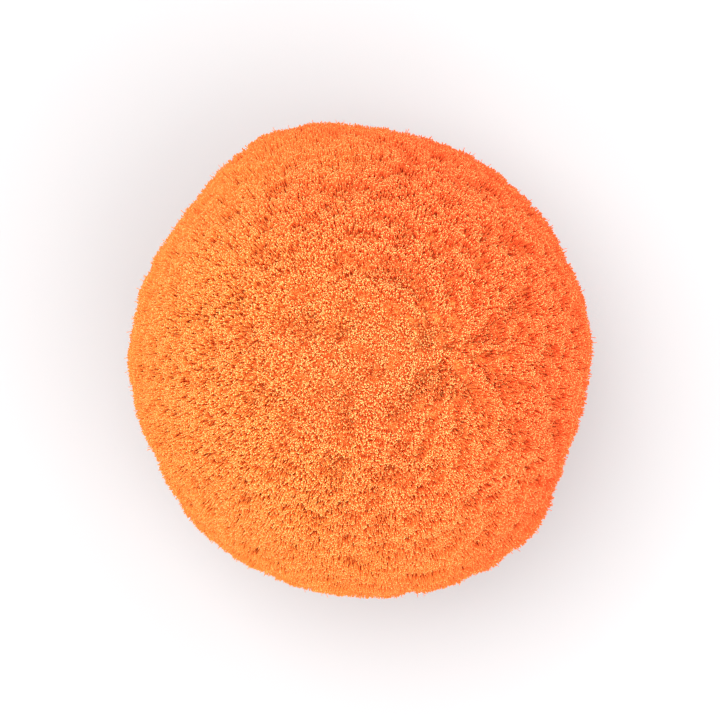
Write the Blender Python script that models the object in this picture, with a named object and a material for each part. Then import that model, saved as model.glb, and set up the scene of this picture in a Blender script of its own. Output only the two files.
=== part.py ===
"""A craft pompom: one ball of cut pile, tied at its middle and standing on a floor.

The pile is modelled as locks that fan out from the tied core. Each lock is rooted in one
three-sided cell of the core and widens as it runs outwards, inside the cone of its own cell,
so neighbouring locks stand apart from the root to the tip. The locks underneath are shorter
and end level on the floor.

Metres, +Z up. The origin is under the middle of the ball, on the floor.
"""

import math
import random

import bmesh
import bpy
from mathutils import Vector

MM = 0.001

# Driving sizes
DIAMETER = 20.0 * MM
PRESSED_IN = 0.5 * MM  # how far the floor pushes the lowest pile in
CORE_POINTS = 150  # a closed net of triangles over n points has 2 n - 4 cells
SEED = 11

# Worked out from them
RADIUS = DIAMETER / 2
REST_HEIGHT = RADIUS - PRESSED_IN  # from the floor to the middle of the ball

# How much each lock differs from the next
CELL_SHIFT = 0.22  # of the distance between core points
LENGTH_SPREAD = 0.008  # of the lock's length
TIP_LEAN = 0.30  # of the way from the cell's middle to a point anywhere in the cell

# One row for each ring of a lock, from the root to the tip: its distance from the middle as a
# share of the pile's reach there, and its width as a share of the cell.
LOCK_RINGS = (
    {"ring": "root", "reach": 0.46, "width": 0.80},
    {"ring": "belly", "reach": 0.74, "width": 0.94},
    {"ring": "shoulder", "reach": 0.94, "width": 0.96},
    {"ring": "brow", "reach": 0.98, "width": 0.88},
    {"ring": "tip", "reach": 1.00, "width": 0.56},
)

# One row for each place where the clipped ball is fuller or flatter than a sphere. Azimuth runs
# from +X towards +Y, and rise_mm is the height at the middle of a soft mound of that width.
UNEVENNESS = (
    {"place": "full upper edge", "azimuth": 110, "elevation": 4, "width": 17, "rise_mm": 0.60},
    {"place": "flat upper left edge", "azimuth": 146, "elevation": 0, "width": 12, "rise_mm": -0.12},
    {"place": "flat lower left edge", "azimuth": 205, "elevation": 0, "width": 12, "rise_mm": -0.34},
    {"place": "full lower edge", "azimuth": 285, "elevation": 6, "width": 20, "rise_mm": 0.16},
    {"place": "full lower right edge", "azimuth": 308, "elevation": 4, "width": 17, "rise_mm": 0.46},
    {"place": "flat right edge", "azimuth": 341, "elevation": -2, "width": 14, "rise_mm": -0.75},
    {"place": "flat upper right edge", "azimuth": 20, "elevation": 0, "width": 22, "rise_mm": -0.14},
    {"place": "pit over the tie", "azimuth": 6, "elevation": 67, "width": 15, "rise_mm": -0.40},
    {"place": "full crown", "azimuth": 190, "elevation": 70, "width": 34, "rise_mm": 0.16},
)

PILE_COLOUR = (1.0, 0.27, 0.065, 1.0)
PILE_ROUGHNESS = 0.95

FLOOR_NORMAL = Vector((0, 0, -1))


def clear_scene():
    """Removes every object that the file holds."""
    for old in list(bpy.data.objects):
        bpy.data.objects.remove(old, do_unlink=True)


def aim(azimuth, elevation):
    """The unit direction at these angles, in degrees."""
    around, up = math.radians(azimuth), math.radians(elevation)
    return Vector((math.cos(around) * math.cos(up), math.sin(around) * math.cos(up), math.sin(up)))


def reach(direction):
    """Distance from the middle of the ball to the clipped surface in this direction."""
    distance = RADIUS
    for row in UNEVENNESS:
        apart = math.degrees(direction.angle(aim(row["azimuth"], row["elevation"])))
        distance += row["rise_mm"] * MM * math.exp(-((apart / row["width"]) ** 2))
    return distance


def reach_above_floor(direction, stretch):
    """The reach times stretch, or less where the pile meets the floor first."""
    free = reach(direction) * stretch
    if direction.z >= 0:
        return free
    return min(free, REST_HEIGHT / -direction.z)


def spiral_directions(count, rng):
    """Directions spread evenly by the golden angle, then shifted a little at random."""
    golden_angle = math.pi * (3 - math.sqrt(5))
    spacing = math.sqrt(4 * math.pi / count)
    directions = []
    for i in range(count):
        z = 1 - (2 * i + 1) / count
        ring = math.sqrt(1 - z * z)
        even = Vector((ring * math.cos(golden_angle * i), ring * math.sin(golden_angle * i), z))
        shift = Vector([rng.uniform(-1, 1) for _ in range(3)]) * spacing * CELL_SHIFT
        directions.append((even + shift).normalized())
    return directions


def core_net(rng):
    """A closed net of triangles of unit radius, with the middle of one cell straight down."""
    net = bmesh.new()
    for direction in spiral_directions(CORE_POINTS, rng):
        net.verts.new(direction)
    bmesh.ops.convex_hull(net, input=net.verts)
    bmesh.ops.recalc_face_normals(net, faces=net.faces)
    lowest = min(net.faces, key=lambda face: face.calc_center_median().normalized().z)
    turn = lowest.calc_center_median().rotation_difference(FLOOR_NORMAL)
    bmesh.ops.rotate(net, verts=net.verts, cent=(0, 0, 0), matrix=turn.to_matrix())
    return net


def place_ring(face, corners, middle, row, lean, stretch):
    """Moves a lock's end face to one of its rings, inside the cone of the lock's own cell."""
    for vert in face.verts:
        corner = max(corners, key=lambda c: c.dot(vert.co.normalized()))
        direction = (middle + lean + (corner - middle) * row["width"]).normalized()
        vert.co = direction * reach_above_floor(direction, stretch) * row["reach"]


def grow_lock(mesh, face, rng):
    """Grows one lock from a cell: the cell is inset to the root, then extruded ring by ring."""
    corners = [vert.co.normalized() for vert in face.verts]
    middle = sum(corners, Vector()) / len(corners)
    shares = [rng.random() for _ in corners]
    leaning = sum((c * s for c, s in zip(corners, shares)), Vector()) / sum(shares) - middle
    stretch = 1 + rng.uniform(-LENGTH_SPREAD, LENGTH_SPREAD)

    bmesh.ops.inset_individual(mesh, faces=[face], thickness=0, use_even_offset=False)
    place_ring(face, corners, middle, LOCK_RINGS[0], Vector(), stretch=1.0)
    for row in LOCK_RINGS[1:]:
        face = bmesh.ops.extrude_discrete_faces(mesh, faces=[face])["faces"][0]
        lean = leaning * TIP_LEAN if row["ring"] == "tip" else Vector()
        place_ring(face, corners, middle, row, lean, stretch)


def pile_mesh(rng):
    """The whole pile as one closed mesh round the middle of the ball."""
    mesh = core_net(rng)
    for vert in mesh.verts:
        direction = vert.co.normalized()
        vert.co = direction * reach_above_floor(direction, 1.0) * LOCK_RINGS[0]["reach"]
    for cell in list(mesh.faces):
        grow_lock(mesh, cell, rng)
    bmesh.ops.recalc_face_normals(mesh, faces=mesh.faces)
    data = bpy.data.meshes.new("pile")
    mesh.to_mesh(data)
    mesh.free()
    return data


def pile_material():
    """Matt cut pile in a warm orange."""
    material = bpy.data.materials.new("pile")
    material.use_nodes = True
    shader = material.node_tree.nodes["Principled BSDF"]
    shader.inputs["Base Color"].default_value = PILE_COLOUR
    shader.inputs["Roughness"].default_value = PILE_ROUGHNESS
    shader.inputs["Metallic"].default_value = 0.0
    return material


def middle_of_outline(data):
    """The middle of the mesh's box, seen from above."""
    across = [vert.co.x for vert in data.vertices]
    along = [vert.co.y for vert in data.vertices]
    return (min(across) + max(across)) / 2, (min(along) + max(along)) / 2


def build_pompom():
    """Makes the pompom's collection with the pile standing on the floor over the origin."""
    collection = bpy.data.collections.new("pompom")
    bpy.context.scene.collection.children.link(collection)
    data = pile_mesh(random.Random(SEED))
    data.materials.append(pile_material())
    pile = bpy.data.objects.new("pile", data)
    x, y = middle_of_outline(data)
    pile.location = (-x, -y, REST_HEIGHT)
    collection.objects.link(pile)
    return pile


def main():
    """Builds the part in an empty scene."""
    clear_scene()
    build_pompom()


main()
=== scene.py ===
"""A craft pompom of peach-orange cut pile, resting on a pale studio floor.

The pile is made fibre by fibre. Every fibre is one small three-sided form, modelled once and laid
along its own bent centre line. Soft random waves over the ball say where the pile stands together
in tufts and where it parts between them. Round the swirl above the tie, the partings are drawn out
into streaks. Fibres lean onto the tufts and are cut lower in the partings, where matted fibres and
the dense pile below them show.

Metres, +Z up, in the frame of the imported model.
"""

from __future__ import annotations

import logging
import math
from dataclasses import dataclass, field
from enum import Enum
from functools import cached_property

import bmesh
import bpy
import numpy as np
from mathutils import Matrix, Vector


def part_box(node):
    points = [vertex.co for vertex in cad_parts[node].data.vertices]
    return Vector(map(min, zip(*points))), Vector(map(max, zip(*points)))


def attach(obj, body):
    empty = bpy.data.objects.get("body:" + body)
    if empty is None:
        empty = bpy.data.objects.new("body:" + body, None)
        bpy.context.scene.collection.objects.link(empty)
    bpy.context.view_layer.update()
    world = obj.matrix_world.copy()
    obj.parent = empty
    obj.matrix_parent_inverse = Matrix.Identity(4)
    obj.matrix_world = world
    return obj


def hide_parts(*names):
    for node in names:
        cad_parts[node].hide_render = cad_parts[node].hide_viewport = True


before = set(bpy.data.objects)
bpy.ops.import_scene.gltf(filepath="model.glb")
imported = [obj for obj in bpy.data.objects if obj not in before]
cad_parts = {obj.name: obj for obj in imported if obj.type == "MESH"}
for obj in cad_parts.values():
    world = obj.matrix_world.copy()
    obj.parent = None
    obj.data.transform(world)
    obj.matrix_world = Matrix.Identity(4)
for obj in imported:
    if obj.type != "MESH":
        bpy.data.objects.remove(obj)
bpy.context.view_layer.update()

MM = 0.001
FULL_TURN = 2 * math.pi
GOLDEN_ANGLE = math.pi * (3 - math.sqrt(5))
TINY = 1e-9  # the least that anything is divided by

ROOT_BODY = "root"
PILE_NODE = "pile"
BAKE_MAP = "OFBake"

# Where the swirl is, above the tie: its direction from the middle of the ball, in degrees.
SWIRL_AZIMUTH = 6
SWIRL_ELEVATION = 67

Colour = tuple[float, float, float, float]
Place = tuple[float, float, float]
Sections = tuple[tuple[float, float], ...]

log = logging.getLogger("pompom")


def linear(red: float, green: float, blue: float) -> Colour:
    """Turns a display colour into the linear colour that a shader takes.

    Args:
        red: Red from 0 to 255.
        green: Green from 0 to 255.
        blue: Blue from 0 to 255.

    Returns:
        The linear red, green and blue, with full opacity.
    """

    def one(value: float) -> float:
        """One channel of the colour, by the sRGB curve."""
        share = value / 255
        return share / 12.92 if share <= 0.04045 else ((share + 0.055) / 1.055) ** 2.4

    return one(red), one(green), one(blue), 1.0


def aim(azimuth: float, elevation: float) -> np.ndarray:
    """The unit direction at these angles, in degrees, with azimuth from +X towards +Y."""
    around, up = math.radians(azimuth), math.radians(elevation)
    return np.array([math.cos(around) * math.cos(up), math.sin(around) * math.cos(up), math.sin(up)])


def unit(vectors: np.ndarray) -> np.ndarray:
    """The rows of an array of vectors, each made one long."""
    return vectors / np.linalg.norm(vectors, axis=1, keepdims=True)


def across(vectors: np.ndarray, directions: np.ndarray) -> np.ndarray:
    """What is left of each vector square to its unit direction."""
    return vectors - np.sum(vectors * directions, axis=1, keepdims=True) * directions


def fading(distance: np.ndarray, reach: float) -> np.ndarray:
    """A soft hill: 1 at no distance, a third at its reach, and nothing far beyond it."""
    return np.exp(-((distance / reach) ** 2))


def spread(count: int) -> np.ndarray:
    """Spreads directions evenly over a ball by the golden angle.

    Args:
        count: How many.

    Returns:
        Unit directions, one a row.
    """
    steps = np.arange(count)
    height = 1 - (2 * steps + 1) / count
    turn = GOLDEN_ANGLE * steps
    ring = np.sqrt(1 - height * height)
    return np.stack([ring * np.cos(turn), ring * np.sin(turn), height], axis=1)


def link(name: str, data: bpy.types.ID) -> bpy.types.Object:
    """Makes an object and puts it in the scene.

    Args:
        name: Its name.
        data: Its mesh, lamp or camera.

    Returns:
        The object.
    """
    made = bpy.data.objects.new(name, data)
    bpy.context.scene.collection.objects.link(made)
    return made


class Wire:
    """A shader socket that takes part in Python sums: each operator adds its Math node."""

    def __init__(self, shader: Shader, socket: bpy.types.NodeSocket) -> None:
        """Keeps the socket and the shader that it belongs to."""
        self.shader = shader
        self.socket = socket

    def _math(self, operation: str, first: Wire | float, second: Wire | float) -> Wire:
        """Adds one Math node.

        Args:
            operation: The Math node's operation.
            first: What goes into its first socket.
            second: What goes into its second socket.

        Returns:
            The node's result.
        """
        return self.shader.node("ShaderNodeMath", {"operation": operation}, {0: first, 1: second})

    def __add__(self, other: Wire | float) -> Wire:
        """This plus the other."""
        return self._math("ADD", self, other)

    def __radd__(self, other: float) -> Wire:
        """The other plus this."""
        return self._math("ADD", other, self)

    def __sub__(self, other: Wire | float) -> Wire:
        """This less the other."""
        return self._math("SUBTRACT", self, other)

    def __rsub__(self, other: float) -> Wire:
        """The other less this."""
        return self._math("SUBTRACT", other, self)

    def __mul__(self, other: Wire | float) -> Wire:
        """This times the other."""
        return self._math("MULTIPLY", self, other)

    def __rmul__(self, other: float) -> Wire:
        """The other times this."""
        return self._math("MULTIPLY", other, self)


class Shader:
    """A new material, its nodes and its Principled shader."""

    # The Mix node has sockets for each kind of data, and these are the ones for colours.
    MIX_SHARE = 0
    MIX_FIRST = 6
    MIX_SECOND = 7
    MIX_RESULT = 2

    FINER_LAYERS = 2.0  # that each noise has

    def __init__(self, name: str, roughness: float, gloss: float) -> None:
        """Makes the material, with the values that are the same all over.

        Args:
            name: The material's name.
            roughness: How matt it is, from 0 to 1.
            gloss: Its specular level, from 0 to 1.
        """
        self.material = bpy.data.materials.new(name)
        self.material.use_nodes = True
        self.tree = self.material.node_tree
        self.surface = self.tree.nodes["Principled BSDF"]
        self.surface.inputs["Roughness"].default_value = roughness
        self.surface.inputs["Specular IOR Level"].default_value = gloss

    def node(
        self,
        kind: str,
        settings: dict[str, object] | None = None,
        sockets: dict[str | int, Wire | float | tuple] | None = None,
        result: str | int = 0,
    ) -> Wire:
        """Adds one node.

        Args:
            kind: The node's type.
            settings: The node's own settings, which are set first.
            sockets: What goes into its sockets, by name or number: a wire or a plain value.
            result: The name or number of the output that is wanted.

        Returns:
            That output.
        """
        made = self.tree.nodes.new(kind)
        for key, value in (settings or {}).items():
            setattr(made, key, value)
        for key, value in (sockets or {}).items():
            if isinstance(value, Wire):
                self.tree.links.new(value.socket, made.inputs[key])
            else:
                made.inputs[key].default_value = value
        return Wire(self, made.outputs[result])

    def drive(self, socket: str, value: Wire) -> None:
        """Lets what changes over the surface feed a socket of the Principled shader."""
        self.tree.links.new(value.socket, self.surface.inputs[socket])

    def attribute(self, name: str) -> Wire:
        """A number that the mesh carries at each of its points or faces."""
        settings = {"attribute_name": name}
        return self.node("ShaderNodeAttribute", settings, result="Fac")

    def place(self) -> Wire:
        """The point's place in the object's own frame."""
        return self.node("ShaderNodeTexCoord", result="Object")

    def noise(self, per_metre: float, grit: float = 0.5) -> Wire:
        """Soft random values around one half.

        Args:
            per_metre: How many times a metre the pattern repeats.
            grit: How strong its finer layers are.

        Returns:
            The value of the pattern.
        """
        sockets = {
            "Vector": self.place(),
            "Scale": per_metre,
            "Detail": self.FINER_LAYERS,
            "Roughness": grit,
        }
        return self.node("ShaderNodeTexNoise", {"noise_dimensions": "3D"}, sockets, "Fac")

    def blend(self, share: Wire, first: Wire | Colour, second: Wire | Colour) -> Wire:
        """Mixes two colours.

        Args:
            share: How much of the second colour there is, from 0 to 1.
            first: The first colour.
            second: The second colour.

        Returns:
            The mixed colour.
        """
        settings = {"data_type": "RGBA", "clamp_factor": True}
        sockets = {self.MIX_SHARE: share, self.MIX_FIRST: first, self.MIX_SECOND: second}
        return self.node("ShaderNodeMix", settings, sockets, self.MIX_RESULT)

    def ramp(self, value: Wire, low: float, high: float) -> Wire:
        """A smooth step of the value.

        Args:
            value: What is looked up.
            low: The value at which the result is 0.
            high: The value at which the result is 1.

        Returns:
            A number from 0 to 1.
        """
        settings = {"interpolation_type": "SMOOTHSTEP", "clamp": True}
        sockets = {"Value": value, "From Min": low, "From Max": high}
        return self.node("ShaderNodeMapRange", settings, sockets)


@dataclass(frozen=True)
class PileFinish:
    """Fine peach-orange fibre: rosier to one side from dye and painted rosy light, with painted shade
    low in the pile and in the partings, and a painted highlight on the cut ends.
    """

    name: str = "peach_pile"
    warm: Colour = linear(255, 142, 63)
    rosy: Colour = linear(255, 108, 56)
    # warm_shaded and rosy_shaded are painted shade for fibres low in the pile and in the partings.
    warm_shaded: Colour = linear(238, 137, 60)
    rosy_shaded: Colour = linear(237, 108, 56)
    # A painted highlight on the cut ends of the fibres.
    cut_end: Colour = linear(255, 220, 134)
    roughness: float = 0.92
    gloss: float = 0.04
    # How much painted shade falls toward the roots and in the partings.
    shade_at_root: float = 0.6
    shade_in_parting: float = 0.2
    tone_spread: float = 0.4
    # Painted shade takes some of the painted highlight off cut ends in the partings.
    highlight_shaded_in_parting: float = 0.2
    # The rosy side is partly dye and partly painted rosy light falling on that side of the ball.
    rosy_toward: Place = (0.94, 0.34, 0.0)
    rosy_reach: float = 7.5 * MM
    patchiness: float = 10.0 * MM
    patches_per_metre: float = 260

    def make(self) -> bpy.types.Material:
        """Builds the material, which reads the numbers that each fibre carries.

        Returns:
            The material.
        """
        shader = Shader(self.name, self.roughness, self.gloss)
        along = shader.attribute(Fibres.ALONG)
        parting = shader.attribute(Fibres.PARTING)
        tone = shader.attribute(Fibres.TONE)
        drift = self._drift(shader)
        # The dye's colour, with painted rosy light on one side.
        dye_and_side_light = shader.blend(drift, self.warm, self.rosy)
        # deep is the painted shade colour; depth says how much painted shade each part of a fibre gets,
        # with a random tone on top.
        deep = shader.blend(drift, self.warm_shaded, self.rosy_shaded)
        painted_shade_amount = (1 - along) * self.shade_at_root + parting * self.shade_in_parting
        depth = shader.ramp(painted_shade_amount + tone * self.tone_spread, 0.0, 1.0)
        side = shader.blend(depth, dye_and_side_light, deep)
        # Painted highlight on the cut ends, dimmed by painted shade in the partings.
        highlight_at_cut = shader.attribute(Fibres.CUT_END) * (1 - self.highlight_shaded_in_parting * parting)
        shader.drive("Base Color", shader.blend(highlight_at_cut, side, self.cut_end))
        return shader.material

    def _drift(self, shader: Shader) -> Wire:
        """Adds the nodes that say how rosy the fibre is, partly from dye and partly from painted rosy
        light on that side of the ball.

        Args:
            shader: The material's shader.

        Returns:
            From 0, on the warm side of the ball, to 1, on the rosy side, with an uneven edge between.
        """
        dot = {"operation": "DOT_PRODUCT"}
        pair = {0: shader.place(), 1: self.rosy_toward}
        sideways = shader.node("ShaderNodeVectorMath", dot, pair, "Value")
        patches = (shader.noise(self.patches_per_metre) - 0.5) * self.patchiness
        return shader.ramp(sideways + patches, -self.rosy_reach, self.rosy_reach)


@dataclass(frozen=True)
class CoreFinish:
    """The dense pile under the tufts: the tips of short fibres, close together, painted lighter on each
    tip with painted shade between them.
    """

    name: str = "deep_pile"
    # deep is painted shade between the tips; high is the painted lighter colour on them.
    deep: Colour = linear(242, 120, 52)
    high: Colour = linear(255, 184, 102)
    roughness: float = 0.95
    gloss: float = 0.1
    tips_per_metre: float = 17_000
    specks_per_metre: float = 9_000
    speck_grit: float = 0.6
    uneven: float = 0.5
    shade_from: float = 0.2
    shade_to: float = 0.65
    tip_height: float = 0.05 * MM
    relief: float = 0.6

    def make(self) -> bpy.types.Material:
        """Builds the material.

        Returns:
            The material.
        """
        shader = Shader(self.name, self.roughness, self.gloss)
        tips = {"Vector": shader.place(), "Scale": self.tips_per_metre}
        from_tip = shader.node("ShaderNodeTexVoronoi", {"feature": "F1"}, tips, "Distance")
        speck = shader.noise(self.specks_per_metre, grit=self.speck_grit)
        # Painted light and shade: lighter at each tip and painted shade between the tips, made uneven by
        # specks.
        shade_between_tips = shader.ramp(from_tip + (speck - 0.5) * self.uneven, self.shade_from, self.shade_to)
        shader.drive("Base Color", shader.blend(shade_between_tips, self.high, self.deep))
        bump = {"Height": 1 - from_tip, "Strength": self.relief, "Distance": self.tip_height}
        shader.drive("Normal", shader.node("ShaderNodeBump", sockets=bump))
        return shader.material


@dataclass(frozen=True)
class FloorFinish:
    """A plain matt pale table top with the faintest clouding."""

    name: str = "pale_floor"
    colour: Colour = linear(188, 187, 187)
    cloud: Colour = linear(183, 182, 182)
    roughness: float = 0.8
    gloss: float = 0.2
    clouding: float = 0.1
    clouds_per_metre: float = 40

    def make(self) -> bpy.types.Material:
        """Builds the material.

        Returns:
            The material.
        """
        shader = Shader(self.name, self.roughness, self.gloss)
        share = shader.noise(self.clouds_per_metre) * self.clouding
        shader.drive("Base Color", shader.blend(share, self.colour, self.cloud))
        return shader.material


@dataclass(frozen=True)
class Mound:
    """A place where the clipped ball is fuller or flatter than a sphere, its angles in degrees."""

    azimuth: float
    elevation: float
    width: float
    rise: float

    def height(self, directions: np.ndarray) -> np.ndarray:
        """How far the mound lifts the surface in each direction, in metres."""
        apart = np.degrees(np.arccos(np.clip(directions @ aim(self.azimuth, self.elevation), -1, 1)))
        return self.rise * fading(apart, self.width)


@dataclass(frozen=True)
class Waves:
    """Random waves in space, all about one length: a soft field of ridges with pits between."""

    length: float
    seed: int
    count: int = 90
    spread: float = 0.18

    def field(self, points: np.ndarray) -> tuple[np.ndarray, np.ndarray]:
        """Works the field out at some points.

        Args:
            points: The points, one a row, in metres.

        Returns:
            Its value at each point, about -2 to 2, and its slope, per metre.
        """
        rng = np.random.default_rng(self.seed)
        heading = unit(rng.normal(size=(self.count, 3)))
        heading *= FULL_TURN / (self.length * (1 + self.spread * rng.uniform(-1, 1, (self.count, 1))))
        phase = rng.uniform(0, FULL_TURN, self.count)
        strength = math.sqrt(2 / self.count)  # of one wave, so that together they spread by 1
        angle = points @ heading.T + phase
        return strength * np.cos(angle).sum(axis=1), -strength * np.sin(angle) @ heading


@dataclass(frozen=True)
class Partings:
    """The uneven hollows along which the pile parts between its tufts."""

    tufts: Waves = Waves(1.62 * MM, seed=3, spread=0.6)
    streaks: Waves = Waves(1.05 * MM, seed=12, spread=0.3)
    sharpness: float = 1.2
    fullness: float = 0.55

    def opened(self, value: np.ndarray, slope: np.ndarray) -> tuple[np.ndarray, np.ndarray]:
        """Turns the soft waves into tufts with hollows between them.

        Args:
            value: The waves at some points.
            slope: Their slope there, per metre.

        Returns:
            From 0, on a tuft, to 1, in a parting, and its slope, per metre.
        """
        bent = np.tanh(self.sharpness * value + self.fullness)
        steep = -self.sharpness * (1 - bent**2) / 2
        return (1 - bent) / 2, steep[:, None] * slope


@dataclass(frozen=True)
class Ball:
    """The clipped form that the whole pile fills, and where the pile parts on it."""

    floor: float
    radius: float = 10.0 * MM
    pressed_in: float = 0.5 * MM
    mounds: tuple[Mound, ...] = (
        Mound(110, 4, 17, 0.60 * MM),  # full upper edge
        Mound(146, 0, 12, -0.12 * MM),  # flat upper left edge
        Mound(205, 0, 12, -0.34 * MM),  # flat lower left edge
        Mound(285, 6, 20, 0.16 * MM),  # full lower edge
        Mound(308, 4, 17, 0.46 * MM),  # full lower right edge
        Mound(341, -2, 14, -0.75 * MM),  # flat right edge
        Mound(20, 0, 22, -0.14 * MM),  # flat upper right edge
        Mound(SWIRL_AZIMUTH, SWIRL_ELEVATION, 15, -0.40 * MM),  # pit over the tie
        Mound(190, 70, 34, 0.16 * MM),  # full crown
    )
    outline_points: int = 20_000
    swirl: np.ndarray = field(default_factory=lambda: aim(SWIRL_AZIMUTH, SWIRL_ELEVATION))
    streak: float = 0.9 * MM  # half the length of a streak
    streak_steps: int = 5
    streak_gain: float = 4.2  # makes up for what the drawing out takes from the waves
    streaked_to: float = 4.2 * MM
    evened: float = 0.74  # how much shallower the partings are far from the swirl
    evened_from: float = 8.5 * MM
    partings: Partings = Partings()
    wisps: Waves = Waves(0.60 * MM, seed=4)

    @cached_property
    def middle(self) -> np.ndarray:
        """The middle of the ball, placed so that its outline is centred over the origin.

        Returns:
            Its place, in metres.
        """
        places = spread(self.outline_points)
        places *= self.reach(places)[:, None]
        aside = (places.max(axis=0) + places.min(axis=0)) / 2
        return np.array([-aside[0], -aside[1], self.floor + self.radius - self.pressed_in])

    def reach(self, directions: np.ndarray) -> np.ndarray:
        """Distance from the middle to the clipped surface in each direction."""
        return self.radius + sum(mound.height(directions) for mound in self.mounds)

    def above_floor(self, directions: np.ndarray, reach: np.ndarray) -> np.ndarray:
        """The reach, or less where the floor is met first."""
        down = np.maximum(-directions[:, 2], TINY)
        return np.minimum(reach, (self.radius - self.pressed_in) / down)

    def from_swirl(self, directions: np.ndarray) -> tuple[np.ndarray, np.ndarray]:
        """Where each direction lies from the middle of the swirl.

        Args:
            directions: Unit directions from the middle of the ball.

        Returns:
            The way that leads off from the swirl along the surface, one long, and how far off it is.
        """
        away = across(-np.tile(self.swirl, (len(directions), 1)), directions)
        distance = self.radius * np.arccos(np.clip(directions @ self.swirl, -1, 1))
        return away / np.maximum(np.linalg.norm(away, axis=1, keepdims=True), TINY), distance

    def parted(self, directions: np.ndarray) -> tuple[np.ndarray, np.ndarray]:
        """How deep the pile is parted, with the partings drawn out into streaks round the swirl.

        Args:
            directions: Unit directions from the middle of the ball.

        Returns:
            From 0 to 1, and its slope along the surface, per metre.
        """
        away, distance = self.from_swirl(directions)
        near = fading(distance, self.streaked_to)
        places = directions * self.radius
        value, slope = (part.T * (1 - near) for part in self.partings.tufts.field(places))
        for step in np.linspace(-self.streak, self.streak, self.streak_steps):
            here, there = self.partings.streaks.field(places + away * step)
            value += here * near * self.streak_gain / self.streak_steps
            slope += there.T * near * self.streak_gain / self.streak_steps
        strength = 1 - self.evened * (1 - fading(distance, self.evened_from))
        return self.partings.opened(value * strength, across((slope * strength).T, directions))


class Fibres:
    """Joined meshes of many like fibres, each with its own cell on the bake map."""

    # From the cut end of a fibre down to its root: how far along each ring is, and its radius.
    WIDEST = 0.5
    STRAIGHT: Sections = ((1.0, WIDEST),)
    BENT: Sections = ((1.0, 0.42), (0.55, WIDEST))
    SIDES = 3
    MERGED_WITHIN = 1e-5  # the corners that meet at the root are closer than this

    # The numbers that a fibre's mesh carries for the finish.
    # Marks the cut-end faces, where the finish paints a highlight.
    CUT_END = "cut_end"
    ALONG = "along"
    PARTING = "parting"
    TONE = "tone"

    # How a fibre is laid out in its cell of the map, as shares of the cell or of one side's strip.
    CELL_EDGE = 0.04
    CAP_BAND = 0.12
    CAP_ACROSS = 0.4
    CAP_UP = 0.3
    STRIP_HALF = 0.42

    UPWARD = 0.9  # a face whose normal rises more than this is the cut end

    def __init__(self, sections: Sections) -> None:
        """Models one fibre, one long and up to one wide, and keeps it as arrays.

        Args:
            sections: From the cut end down: how far along each ring is, and the ring's radius. The
                root is a point.
        """
        form = self._form(sections)
        form.verts.index_update()
        self.points = np.array([vert.co[:] for vert in form.verts])
        self.corners = np.array([vert.index for face in form.faces for vert in face.verts])
        self.face_sizes = np.array([len(face.verts) for face in form.faces])
        self.map = np.array([place for face in form.faces for place in self._map_places(face)])
        self.is_cut_end = np.array([face.normal.z > self.UPWARD for face in form.faces])
        form.free()

    @classmethod
    def _form(cls, sections: Sections) -> bmesh.types.BMesh:
        """One fibre standing on the point of its root, with a ring of edges at each section.

        Args:
            sections: As for the class.

        Returns:
            The closed form.
        """
        form = bmesh.new()
        half_up = Matrix.Translation((0, 0, 0.5))
        radii = {"radius1": 0, "radius2": sections[0][1]}
        bmesh.ops.create_cone(form, cap_ends=True, segments=cls.SIDES, depth=1, matrix=half_up, **radii)
        bmesh.ops.remove_doubles(form, verts=form.verts, dist=cls.MERGED_WITHIN)
        for height, radius in sections[1:]:
            whole = [*form.verts, *form.edges, *form.faces]
            place = {"plane_co": (0, 0, height), "plane_no": (0, 0, 1)}
            cut = bmesh.ops.bisect_plane(form, geom=whole, **place)["geom_cut"]
            ring = [part for part in cut if isinstance(part, bmesh.types.BMVert)]
            wider = radius / ring[0].co.xy.length
            bmesh.ops.scale(form, verts=ring, vec=(wider, wider, 1))
        bmesh.ops.recalc_face_normals(form, faces=form.faces)
        return form

    def _map_places(self, face: bmesh.types.BMFace) -> list[tuple[float, float]]:
        """Lays one face out in the fibre's own cell of the map, with the sides next to each other.

        Args:
            face: A side, or the cut end.

        Returns:
            The place of each of its corners, each number from 0 to 1.
        """
        if face.normal.z > self.UPWARD:
            return [
                (0.5 + self.CAP_ACROSS * vert.co.x, 1 - self.CAP_BAND * (0.5 + self.CAP_UP * vert.co.y))
                for vert in face.verts
            ]
        facing = math.atan2(face.normal.y, face.normal.x)
        strip = round((facing / FULL_TURN * self.SIDES) % self.SIDES + 0.5) % self.SIDES
        places = []
        for vert in face.verts:
            turn = math.remainder(math.atan2(vert.co.y, vert.co.x) - facing, FULL_TURN)
            wide = min(1.0, vert.co.xy.length / self.WIDEST)
            aside = self.STRIP_HALF * math.copysign(wide, turn)
            places.append(((strip + 0.5 + aside) / self.SIDES, (1 - self.CAP_BAND) * vert.co.z))
        return places

    def mesh(self, name: str, lay: Lay) -> bpy.types.Object:
        """Lays a copy of the fibre along each centre line and joins them all.

        Args:
            name: The new object's name.
            lay: The centre lines and what goes with them.

        Returns:
            The new object, linked to the scene.
        """
        count, points_each = len(lay.root), len(self.points)
        data = bpy.data.meshes.new(name)
        data.vertices.add(count * points_each)
        data.vertices.foreach_set("co", self._places(lay).astype(np.float32).ravel())
        corners = self.corners[None, :] + np.arange(count)[:, None] * points_each
        data.loops.add(corners.size)
        data.loops.foreach_set("vertex_index", corners.astype(np.int32).ravel())
        sizes = np.tile(self.face_sizes, count)
        data.polygons.add(sizes.size)
        data.polygons.foreach_set("loop_start", (np.cumsum(sizes) - sizes).astype(np.int32))
        data.update(calc_edges=True)
        data.shade_smooth()
        self._write_map(data, count)
        self._write_number(data, self.CUT_END, "FACE", np.tile(self.is_cut_end, count))
        self._write_number(data, self.ALONG, "POINT", np.tile(self.points[:, 2], count))
        self._write_number(data, self.PARTING, "POINT", np.repeat(lay.parting, points_each))
        self._write_number(data, self.TONE, "POINT", np.repeat(lay.tone, points_each))
        return link(name, data)

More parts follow.
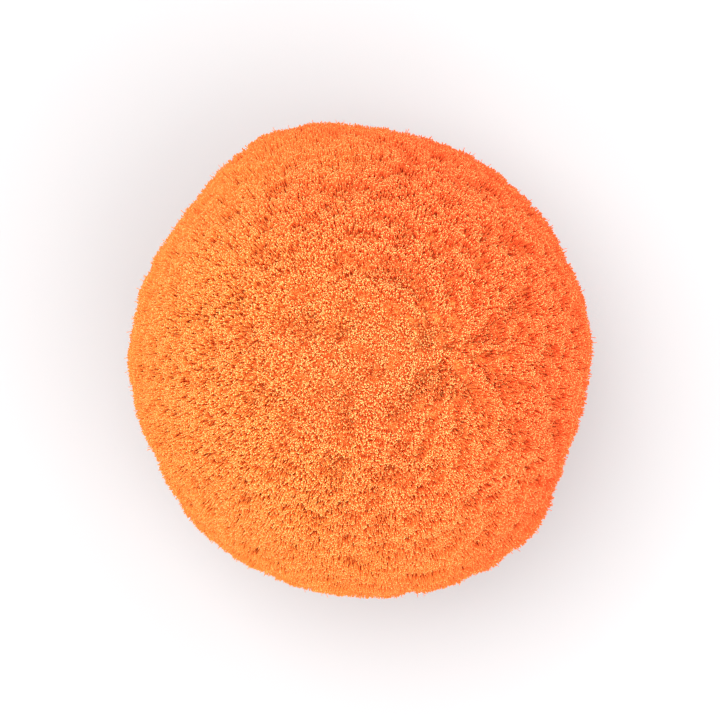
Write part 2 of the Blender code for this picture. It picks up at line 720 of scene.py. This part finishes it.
    def _places(self, lay: Lay) -> np.ndarray:
        """Bends the fibre's points along each centre line.

        Args:
            lay: The centre lines.

        Returns:
            For each fibre, the place of each of its points.
        """
        along = self.points[:, 2]
        bend = [share[None, :, None] for share in ((1 - along) ** 2, 2 * along * (1 - along), along**2)]
        axis = unit(lay.tip - lay.root)
        first = unit(np.cross(axis, lay.roll))
        second = np.cross(axis, first)
        wide = lay.width[:, None, None]
        places = (
            lay.root[:, None, :] * bend[0]
            + lay.bow[:, None, :] * bend[1]
            + lay.tip[:, None, :] * bend[2]
            + wide * self.points[None, :, 0, None] * first[:, None, :]
            + wide * self.points[None, :, 1, None] * second[:, None, :]
        )
        places[..., 2] = np.maximum(places[..., 2], lay.floor)
        return places

    def _write_map(self, data: bpy.types.Mesh, count: int) -> None:
        """Gives each fibre its own cell of the bake map, in rows.

        Args:
            data: The joined mesh.
            count: How many fibres it holds.
        """
        row = math.ceil(math.sqrt(count))
        cell = np.stack([np.arange(count) % row, np.arange(count) // row], axis=1)
        inner = self.CELL_EDGE + (1 - 2 * self.CELL_EDGE) * self.map
        places = (cell[:, None, :] + inner[None, :, :]) / row
        layer = data.uv_layers.new(name=BAKE_MAP)
        layer.data.foreach_set("uv", places.astype(np.float32).ravel())

    @staticmethod
    def _write_number(data: bpy.types.Mesh, name: str, domain: str, values: np.ndarray) -> None:
        """Stores a number at each point or face of the mesh for the finish to read."""
        stored = data.attributes.new(name, "FLOAT", domain)
        stored.data.foreach_set("value", values.astype(np.float32))


@dataclass(frozen=True)
class Lay:
    """Centre lines of some fibres, one a row, with what goes with each."""

    root: np.ndarray
    bow: np.ndarray
    tip: np.ndarray
    roll: np.ndarray
    width: np.ndarray
    parting: np.ndarray
    tone: np.ndarray
    floor: float

    def only(self, chosen: np.ndarray) -> Lay:
        """The fibres that the mask chooses."""
        rows = [getattr(self, name)[chosen] for name in Lay.__dataclass_fields__ if name != "floor"]
        return Lay(*rows, self.floor)


class Where(Enum):
    """Where fibres of one kind stand."""

    WHOLE_BALL = "whole ball"
    PARTINGS = "partings"


@dataclass(frozen=True)
class Cut:
    """How one kind of fibre is cut and how it hangs."""

    sections: Sections
    count: int
    width: float
    root_share: float  # where the root is, as a share of the pile's reach
    longer: tuple[float, float]  # than the clipped surface: the least and the most
    crimp: float
    splay: float
    where: Where = Where.WHOLE_BALL


@dataclass
class Pile:
    """All the fibres: most clipped level, some matted low in the partings, and a few left long."""

    ball: Ball
    sectors: int = 5  # round the upright axis, a piece of clipped fibres for each
    seed: int = 21
    clipped: Cut = Cut(
        sections=Fibres.STRAIGHT,
        count=200_000,
        width=0.055 * MM,
        root_share=0.915,
        longer=(-0.10 * MM, 0.14 * MM),
        crimp=0.0,
        splay=0.14 * MM,
    )
    matted: Cut = Cut(
        sections=Fibres.BENT,
        count=44_000,
        width=0.050 * MM,
        root_share=0.91,
        longer=(-0.35 * MM, 0.05 * MM),
        crimp=0.25 * MM,
        splay=0.36 * MM,
        where=Where.PARTINGS,
    )
    stray: Cut = Cut(
        sections=Fibres.BENT,
        count=2_500,
        width=0.036 * MM,
        root_share=0.90,
        longer=(0.05 * MM, 0.30 * MM),
        crimp=0.16 * MM,
        splay=0.22 * MM,
    )
    scatter: float = 0.3  # of the distance between neighbouring roots
    width_spread: tuple[float, float] = (0.75, 1.25)
    parting_depth: float = 0.48 * MM
    parting_lean: float = 0.10 * MM * MM  # for a slope of one per metre
    parting_lean_most: float = 0.19 * MM
    wisp_lean: float = 0.005 * MM * MM  # for a slope of one per metre
    swirl_lean: float = 0.12 * MM
    swirl_spread: float = 2.6 * MM  # how far from the swirl's middle it leans most
    combed: float = 0.45  # how much of the splay is gone at the swirl's middle

    def directions(self, cut: Cut, rng: np.random.Generator) -> np.ndarray:
        """Spreads directions over the ball and scatters them, or keeps only those in the partings.

        Args:
            cut: The kind of fibre that they are for.
            rng: Where the random numbers come from.

        Returns:
            Unit directions, one a row.
        """
        spacing = math.sqrt(4 * math.pi / cut.count)
        out = unit(spread(cut.count) + rng.normal(0, self.scatter * spacing, (cut.count, 3)))
        if cut.where is Where.PARTINGS:
            out = out[rng.uniform(0, 1, cut.count) < self.ball.parted(out)[0]]
        return out

    def lean(self, cut: Cut, out: np.ndarray, slope: np.ndarray, rng: np.random.Generator) -> np.ndarray:
        """Works out how far the tips lean aside: onto the tufts, off the swirl and at random.

        Args:
            cut: The kind of fibre.
            out: The direction of each fibre.
            slope: How steeply the partings deepen there.
            rng: Where the random numbers come from.

        Returns:
            The lean of each fibre along the surface, in metres.
        """
        ball, most = self.ball, self.parting_lean_most
        lean = -slope * self.parting_lean
        size = np.linalg.norm(lean, axis=1, keepdims=True)
        lean *= most * np.tanh(size / most) / np.maximum(size, TINY)
        lean += across(ball.wisps.field(out * ball.radius)[1], out) * self.wisp_lean
        away, distance = ball.from_swirl(out)
        off = distance / self.swirl_spread
        hill = off * np.exp((1 - off**2) / 2)  # nothing at the swirl's middle, 1 at its spread
        lean += away * (self.swirl_lean * hill)[:, None]
        splayed = 1 - self.combed * fading(distance, ball.streaked_to)
        return lean + across(rng.normal(0, cut.splay, out.shape), out) * splayed[:, None]

    def lay(self, cut: Cut, rng: np.random.Generator) -> Lay:
        """Works out where the fibres of one kind lie.

        Args:
            cut: The kind of fibre.
            rng: Where the random numbers come from.

        Returns:
            Their centre lines.
        """
        ball = self.ball
        out = self.directions(cut, rng)
        count = len(out)
        parting, slope = ball.parted(out)
        lean = self.lean(cut, out, slope, rng)
        bow = across(rng.normal(0, cut.crimp, (count, 3)), out)
        reach = ball.reach(out)
        toward = unit(out * reach[:, None] + lean)
        longer = rng.uniform(*cut.longer, count) - self.parting_depth * parting
        tip_reach = ball.above_floor(toward, reach + longer)
        root_reach = ball.above_floor(out, reach) * cut.root_share
        return Lay(
            root=ball.middle + out * root_reach[:, None],
            bow=ball.middle + out * ((root_reach + tip_reach) / 2)[:, None] + bow,
            tip=ball.middle + toward * tip_reach[:, None],
            roll=rng.normal(size=(count, 3)),
            width=cut.width * rng.uniform(*self.width_spread, count),
            parting=parting,
            tone=rng.uniform(0, 1, count),
            floor=ball.floor,
        )

    def build(self, finish: PileFinish) -> None:
        """Makes the fibres, the clipped ones sector by sector.

        Args:
            finish: What they look like.
        """
        rng = np.random.default_rng(self.seed)
        clipped = self.lay(self.clipped, rng)
        matted = self.lay(self.matted, rng)
        stray = self.lay(self.stray, rng)
        outward = clipped.root - self.ball.middle
        turn = np.arctan2(outward[:, 1], outward[:, 0]) / FULL_TURN % 1
        sector = (turn * self.sectors).astype(int)
        straight, bent = Fibres(Fibres.STRAIGHT), Fibres(Fibres.BENT)
        made = [
            straight.mesh(f"cut_pile_{index + 1}", clipped.only(sector == index))
            for index in range(self.sectors)
        ]
        made.append(bent.mesh("matted_fibres", matted))
        made.append(bent.mesh("stray_fibres", stray))
        material = finish.make()
        for piece in made:
            dress(piece, material)


@dataclass
class Core:
    """The dense pile below the tufts, one closed surface that shows only in the partings."""

    ball: Ball
    share: float = 0.96  # of the pile's reach
    ripple: float = 0.50 * MM
    subdivisions: int = 6

    def build(self, finish: CoreFinish) -> None:
        """Makes the surface.

        Args:
            finish: What it looks like.
        """
        form = bmesh.new()
        bmesh.ops.create_icosphere(form, subdivisions=self.subdivisions, radius=1)
        out = unit(np.array([vert.co[:] for vert in form.verts]))
        parting = self.ball.parted(out)[0]
        reach = self.ball.above_floor(out, self.ball.reach(out)) * self.share - parting * self.ripple
        for vert, place in zip(form.verts, self.ball.middle + out * reach[:, None]):
            vert.co = place
        data = bpy.data.meshes.new("deep_pile")
        form.to_mesh(data)
        form.free()
        data.shade_smooth()
        dress(link("deep_pile", data), finish.make())


def dress(piece: bpy.types.Object, material: bpy.types.Material) -> None:
    """Gives a piece its finish and says that it rides on the pompom in place of the plain pile.

    Args:
        piece: The finished piece.
        material: Its finish.
    """
    piece.data.materials.append(material)
    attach(piece, ROOT_BODY)
    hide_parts(PILE_NODE)
    log.info("%s: %d faces", piece.name, len(piece.data.polygons))


@dataclass(frozen=True)
class Lamp:
    """One soft square lamp that hangs over the table."""

    name: str
    place: Place
    size: float
    watts: float

    def build(self, target: Vector) -> None:
        """Hangs the lamp.

        Args:
            target: What it is turned to.
        """
        data = bpy.data.lights.new(self.name, "AREA")
        data.shape = "SQUARE"
        data.size = self.size
        data.energy = self.watts
        lamp = link(self.name, data)
        lamp.location = self.place
        lamp.rotation_euler = (target - lamp.location).to_track_quat("-Z", "Y").to_euler()


@dataclass
class Studio:
    """A pale table top, soft light from above, and a camera that looks straight down."""

    ball: Ball
    floor_size: float = 1.2
    lens: float = 180.0  # millimetres, as the sensor
    sensor: float = 36.0
    framed: float = 31.0 * MM  # how much of the table the picture takes in
    clip_span: float = 100.0  # nearest and farthest seen, as a share and a multiple of the height
    sky: Colour = linear(250, 250, 252)
    sky_strength: float = 1.55
    lamps: tuple[Lamp, ...] = (
        Lamp("key_light", (-0.60, 0.45, 2.50), size=1.6, watts=38.5),
        Lamp("fill_light", (1.00, -1.00, 2.00), size=1.8, watts=21.0),
    )

    def build(self) -> None:
        """Makes the floor, the lights and the camera."""
        self._floor()
        self._world()
        for lamp in self.lamps:
            lamp.build(Vector(self.ball.middle))
        self._camera()

    def _floor(self) -> None:
        """The table top, level with the underside of the pompom."""
        form = bmesh.new()
        bmesh.ops.create_grid(form, x_segments=1, y_segments=1, size=self.floor_size / 2)
        data = bpy.data.meshes.new("table_top")
        form.to_mesh(data)
        form.free()
        data.materials.append(FloorFinish().make())
        floor = link("table_top", data)

    def _world(self) -> None:
        """Even pale light from all round."""
        world = bpy.data.worlds.new("studio")
        world.use_nodes = True
        background = world.node_tree.nodes["Background"]
        background.inputs["Color"].default_value = self.sky
        background.inputs["Strength"].default_value = self.sky_strength
        bpy.context.scene.world = world

    def _camera(self) -> None:
        """Looks straight down on the middle of the ball, with +Y up in the picture."""
        data = bpy.data.cameras.new("overhead")
        data.lens = self.lens
        data.sensor_width = self.sensor
        height = self.framed * self.lens / self.sensor
        data.clip_start = height / self.clip_span
        data.clip_end = height * self.clip_span
        camera = link("overhead", data)
        camera.location = (0, 0, self.ball.middle[2] + height)
        bpy.context.scene.camera = camera


def main() -> None:
    """Builds the pompom and its studio, piece by piece."""
    logging.basicConfig(level=logging.INFO, format="%(name)s: %(message)s")
    ball = Ball(floor=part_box(PILE_NODE)[0][2])
    Core(ball).build(CoreFinish())
    Pile(ball).build(PileFinish())
    Studio(ball).build()
    bpy.context.scene.view_settings.view_transform = "Standard"


if __name__ == "__main__":
    main()
